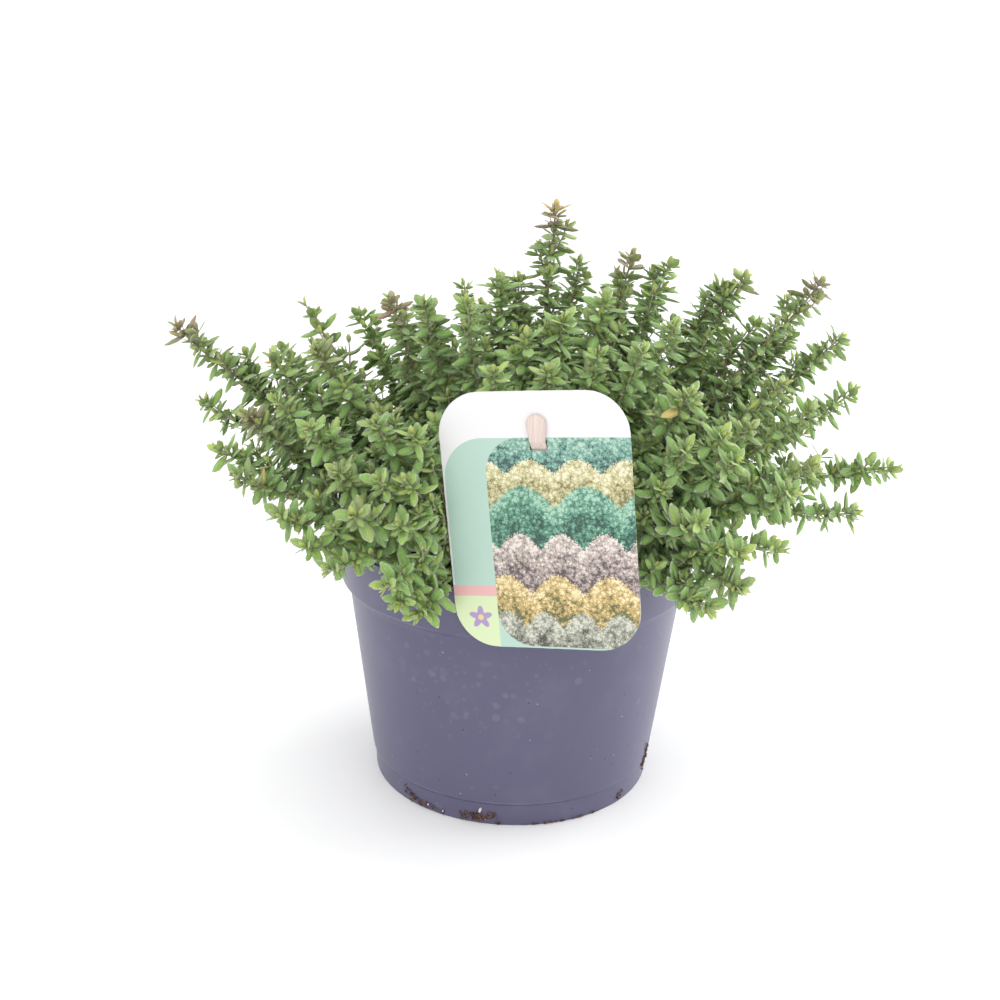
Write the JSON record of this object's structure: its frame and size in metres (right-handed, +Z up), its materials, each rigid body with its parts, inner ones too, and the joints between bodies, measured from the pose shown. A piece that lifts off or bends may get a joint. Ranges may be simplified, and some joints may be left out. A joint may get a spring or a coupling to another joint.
{
  "type": "potted variegated lemon thyme",
  "caption": "Bushy lemon thyme with cream-edged leaves on arching stems, in a round tapered nursery pot with a plain picture label on a stake.",
  "frame": {"origin": "centre of the pot's underside, on the surface it stands on", "axes": "+Z up, -Y towards the label card, +X to the right as seen from the label's side"},
  "size_m": [0.3417, 0.2536, 0.2718],
  "materials": {
    "pot_plastic": "satin",
    "compost": "matte",
    "label_plastic": "satin",
    "stake_wood": "matte",
    "foliage": "satin"
  },
  "bodies": {
    "root": {"label_card": "label_plastic", "label_stake": "stake_wood", "pot": "pot_plastic", "potting_soil": "compost", "thyme_shoot_01": "foliage", "thyme_shoot_02": "foliage", "thyme_shoot_03": "foliage", "thyme_shoot_04": "foliage", "thyme_shoot_05": "foliage", "thyme_shoot_06": "foliage", "thyme_shoot_07": "foliage", "thyme_shoot_08": "foliage", "thyme_shoot_09": "foliage", "thyme_shoot_10": "foliage", "thyme_shoot_11": "foliage", "thyme_shoot_12": "foliage", "thyme_shoot_13": "foliage", "thyme_shoot_14": "foliage", "thyme_shoot_15": "foliage", "thyme_shoot_16": "foliage", "thyme_shoot_17": "foliage", "thyme_shoot_18": "foliage", "thyme_shoot_19": "foliage", "thyme_shoot_20": "foliage", "thyme_shoot_21": "foliage", "thyme_shoot_22": "foliage", "thyme_shoot_23": "foliage", "thyme_shoot_24": "foliage", "thyme_shoot_25": "foliage", "thyme_shoot_26": "foliage", "thyme_shoot_27": "foliage", "thyme_shoot_28": "foliage", "thyme_shoot_29": "foliage", "thyme_shoot_30": "foliage", "thyme_shoot_31": "foliage", "thyme_shoot_32": "foliage", "thyme_shoot_33": "foliage", "thyme_shoot_34": "foliage", "thyme_shoot_35": "foliage", "thyme_shoot_36": "foliage", "thyme_shoot_37": "foliage", "thyme_shoot_38": "foliage", "thyme_shoot_39": "foliage", "thyme_shoot_40": "foliage", "thyme_shoot_41": "foliage", "thyme_shoot_42": "foliage", "thyme_shoot_43": "foliage", "thyme_shoot_44": "foliage", "thyme_shoot_45": "foliage", "thyme_shoot_46": "foliage", "thyme_shoot_47": "foliage", "thyme_shoot_48": "foliage", "thyme_shoot_49": "foliage", "thyme_shoot_50": "foliage", "thyme_shoot_51": "foliage", "thyme_shoot_52": "foliage"}
  },
  "joints": []
}
